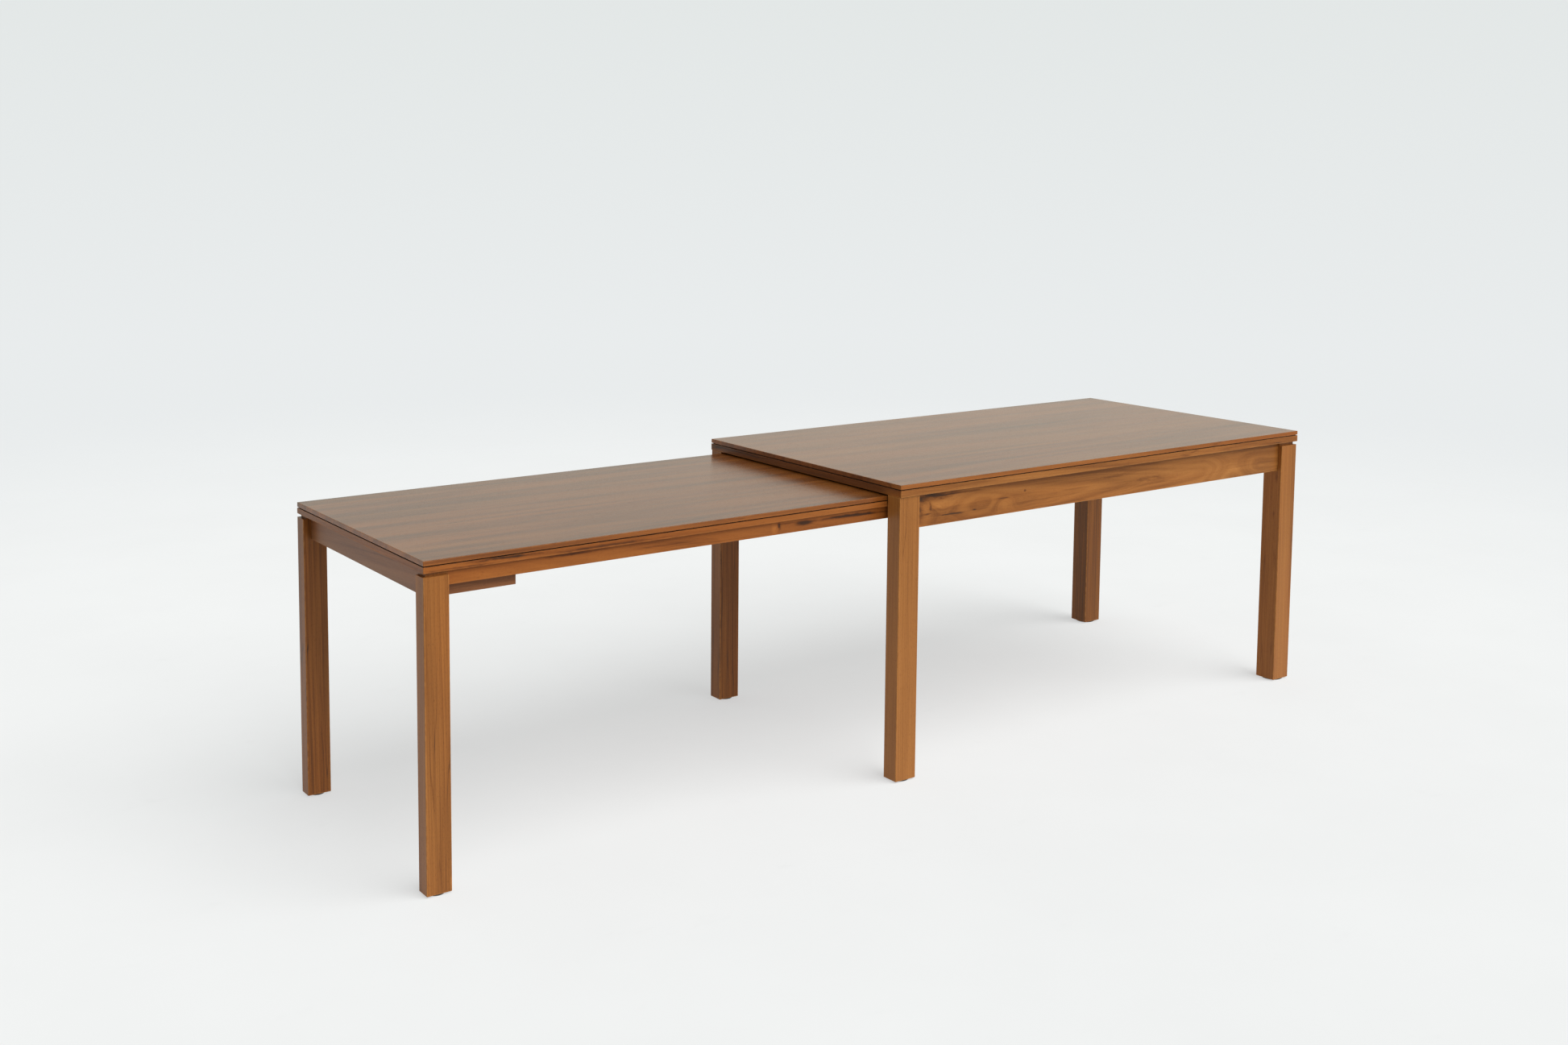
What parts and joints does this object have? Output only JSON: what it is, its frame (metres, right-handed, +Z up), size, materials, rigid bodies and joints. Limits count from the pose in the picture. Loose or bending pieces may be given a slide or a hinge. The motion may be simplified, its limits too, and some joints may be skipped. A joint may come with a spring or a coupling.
{
  "type": "nesting extension table",
  "caption": "Rectangular wooden dining table with a lower leaf table that slides out from under its open end and stands on its own legs.",
  "frame": {"origin": "on the floor, in the middle of the box that the table fills with the leaf pulled right out", "axes": "+X along the table from the leaf's outer end to the main table's closed end, +Y across it, +Z up"},
  "size_m": [2.7, 0.8, 0.73],
  "materials": {
    "top_walnut": "satin lacquer, grain along the table",
    "frame_walnut": "satin lacquer, grain along each piece",
    "inner_wood": "matt sealed wood",
    "felt": "dark pressed felt",
    "nylon": "smooth off-white plastic",
    "rubber": "matt black rubber",
    "zinc_steel": "zinc-plated"
  },
  "bodies": {
    "main_table": {"main_band_far": "frame_walnut", "main_band_left": "frame_walnut", "main_band_near": "frame_walnut", "main_band_right": "frame_walnut", "main_batten_left": "inner_wood", "main_batten_right": "inner_wood", "main_bumper_far": "rubber", "main_bumper_near": "rubber", "main_glide_left_far": "felt", "main_glide_left_near": "felt", "main_glide_right_far": "felt", "main_glide_right_near": "felt", "main_guard_felt_far": "felt", "main_guard_felt_near": "felt", "main_leg_left_far": "frame_walnut", "main_leg_left_near": "frame_walnut", "main_leg_right_far": "frame_walnut", "main_leg_right_near": "frame_walnut", "main_rail_end": "frame_walnut", "main_rail_far": "frame_walnut", "main_rail_near": "frame_walnut", "main_runner_far": "inner_wood", "main_runner_near": "inner_wood", "main_runner_screw_far_1": "zinc_steel", "main_runner_screw_far_2": "zinc_steel", "main_runner_screw_far_3": "zinc_steel", "main_runner_screw_near_1": "zinc_steel", "main_runner_screw_near_2": "zinc_steel", "main_runner_screw_near_3": "zinc_steel", "main_slide_strip_far": "nylon", "main_slide_strip_near": "nylon", "main_top_board": "top_walnut"},
    "leaf_table": {"leaf_band_far": "frame_walnut", "leaf_band_left": "frame_walnut", "leaf_band_near": "frame_walnut", "leaf_band_right": "frame_walnut", "leaf_batten_left": "inner_wood", "leaf_batten_right": "inner_wood", "leaf_brace_far": "frame_walnut", "leaf_brace_near": "frame_walnut", "leaf_brace_screw_far_1": "zinc_steel", "leaf_brace_screw_far_2": "zinc_steel", "leaf_brace_screw_near_1": "zinc_steel", "leaf_brace_screw_near_2": "zinc_steel", "leaf_glide_far": "felt", "leaf_glide_near": "felt", "leaf_leg_far": "frame_walnut", "leaf_leg_near": "frame_walnut", "leaf_rail_end": "frame_walnut", "leaf_rail_far": "frame_walnut", "leaf_rail_inner": "inner_wood", "leaf_rail_near": "frame_walnut", "leaf_stop_far": "inner_wood", "leaf_stop_near": "inner_wood", "leaf_stop_screw_far": "zinc_steel", "leaf_stop_screw_near": "zinc_steel", "leaf_top_board": "top_walnut"}
  },
  "joints": [
    {"name": "leaf_slide", "type": "slide", "parent": "main_table", "child": "leaf_table", "axis": [1, 0, 0], "range_m": [0, 1.2]}
  ]
}
